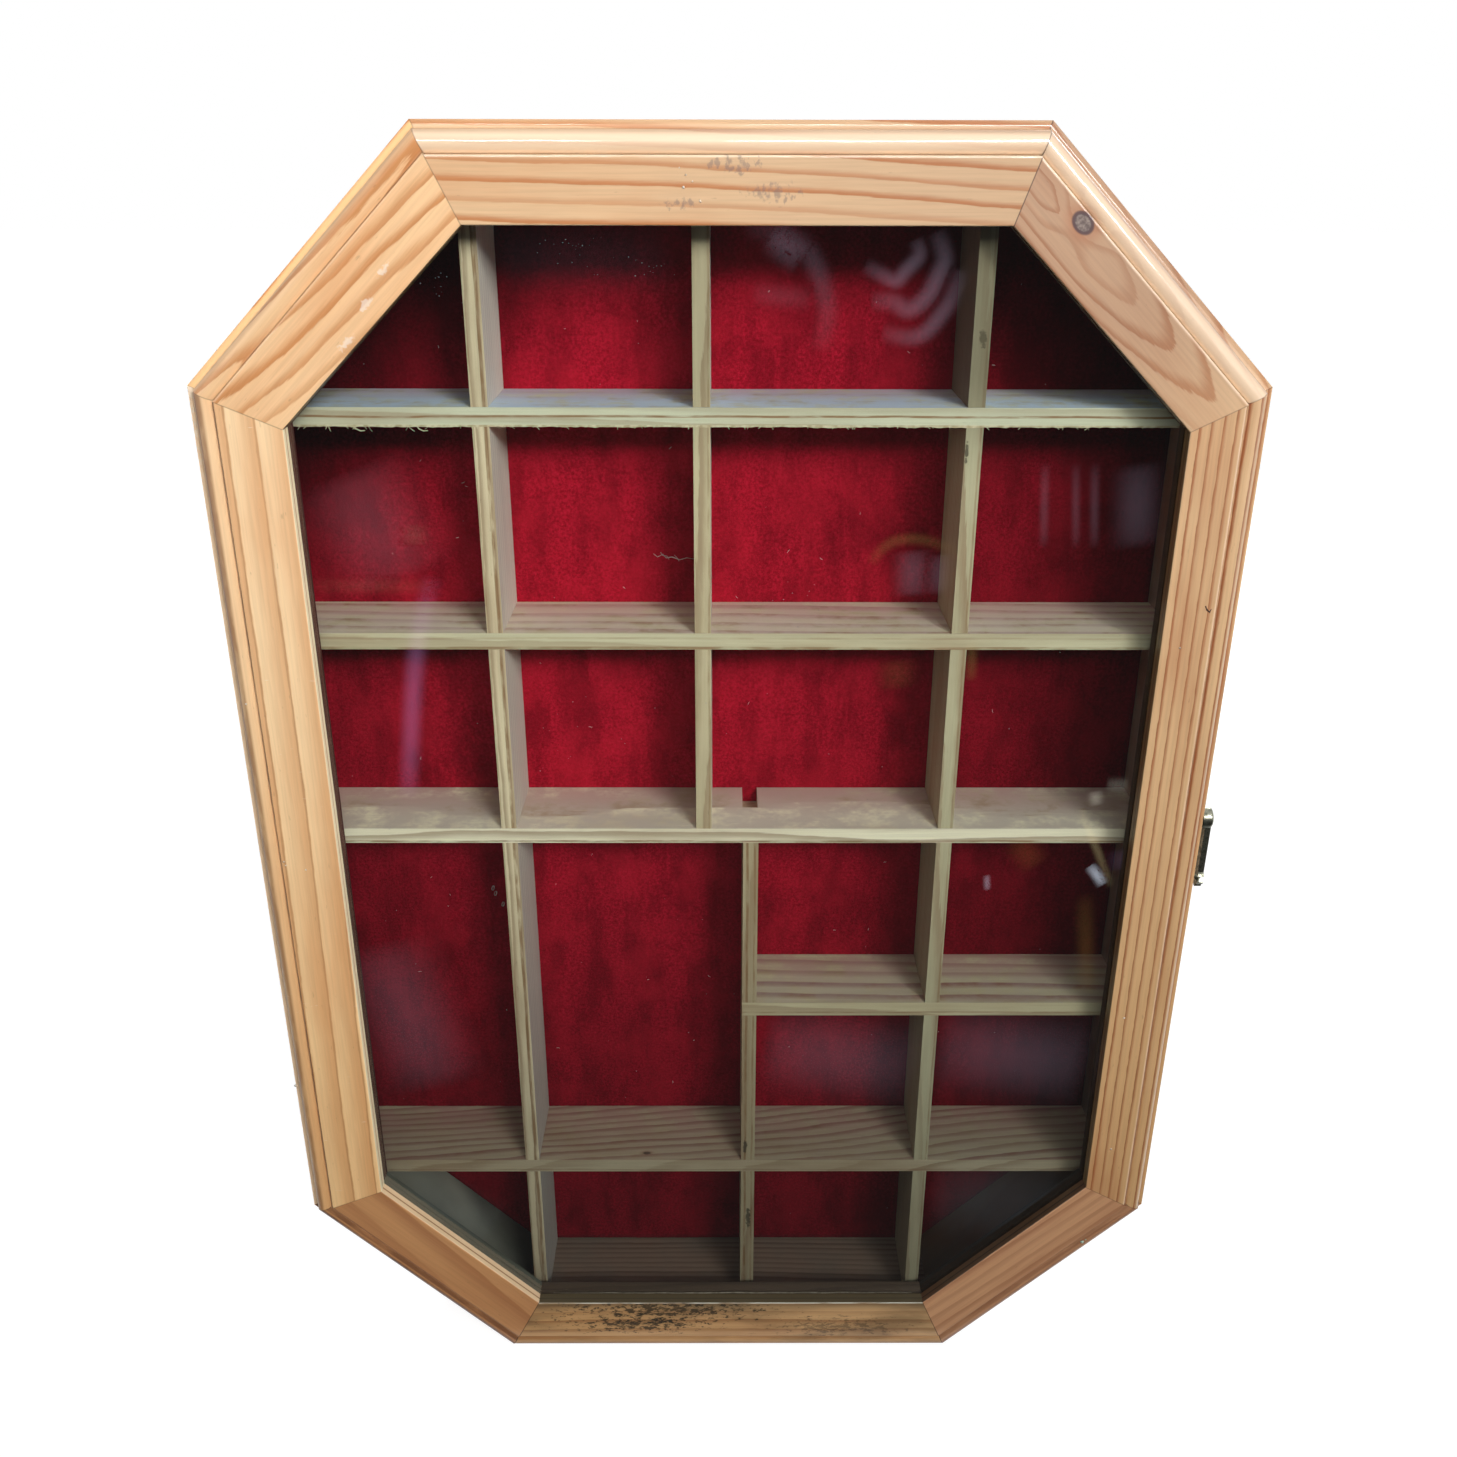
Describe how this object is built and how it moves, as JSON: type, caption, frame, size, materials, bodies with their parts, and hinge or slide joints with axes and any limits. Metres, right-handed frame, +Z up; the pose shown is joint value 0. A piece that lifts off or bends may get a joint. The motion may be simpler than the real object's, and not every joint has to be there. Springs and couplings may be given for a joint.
{
  "type": "wall display case",
  "caption": "Octagonal pine wall case: a felt-lined grid of slotted shelves and dividers behind a moulded, glazed door on butt hinges, with a swing hook.",
  "frame": {"origin": "middle of the back panel's rear face, in the plane of the wall", "axes": "+Z up, +X to the right seen from the front, the door faces -Y"},
  "size_m": [0.4605, 0.07, 0.64],
  "materials": {
    "oiled_pine": "gloss",
    "bare_pine": "matt",
    "hardboard": "matt",
    "red_felt": "matt",
    "aged_brass": "satin",
    "clear_glass": "gloss"
  },
  "bodies": {
    "case": {"case_top_board": "oiled_pine", "case_upper_right_board": "oiled_pine", "case_right_board": "oiled_pine", "case_lower_right_board": "oiled_pine", "case_bottom_board": "oiled_pine", "case_lower_left_board": "oiled_pine", "case_left_board": "oiled_pine", "case_upper_left_board": "oiled_pine", "back_panel": "hardboard", "felt_lining": "red_felt", "shelf_a": "bare_pine", "shelf_b": "bare_pine", "shelf_c": "bare_pine", "shelf_d": "bare_pine", "shelf_e": "bare_pine", "divider_left": "bare_pine", "divider_upper": "bare_pine", "divider_lower": "bare_pine", "divider_right": "bare_pine", "hinge_upper_case_leaf": "aged_brass", "hinge_lower_case_leaf": "aged_brass", "hinge_upper_pin": "aged_brass", "hinge_lower_pin": "aged_brass", "hinge_case_screws": "aged_brass", "catch_stud": "aged_brass"},
    "door": {"door_top_rail": "oiled_pine", "door_upper_right_rail": "oiled_pine", "door_right_rail": "oiled_pine", "door_lower_right_rail": "oiled_pine", "door_bottom_rail": "oiled_pine", "door_lower_left_rail": "oiled_pine", "door_left_rail": "oiled_pine", "door_upper_left_rail": "oiled_pine", "glass_pane": "clear_glass", "strip_top": "bare_pine", "strip_upper_right": "bare_pine", "strip_right": "bare_pine", "strip_lower_right": "bare_pine", "strip_bottom": "bare_pine", "strip_lower_left": "bare_pine", "strip_left": "bare_pine", "strip_upper_left": "bare_pine", "hinge_upper_door_leaf": "aged_brass", "hinge_lower_door_leaf": "aged_brass", "hinge_door_screws": "aged_brass", "latch_screw": "aged_brass"},
    "hook": {"latch_hook": "aged_brass"}
  },
  "joints": [
    {"name": "door_hinge", "type": "hinge", "parent": "case", "child": "door", "pos_m": [-0.2262, -0.0505, 0], "axis": [0, 0, -1], "range_deg": [0, 180]},
    {"name": "hook_pivot", "type": "hinge", "parent": "door", "child": "hook", "pos_m": [0.229, -0.0566, 0.0155], "axis": [1, 0, 0], "range_deg": [-270, 75]}
  ]
}
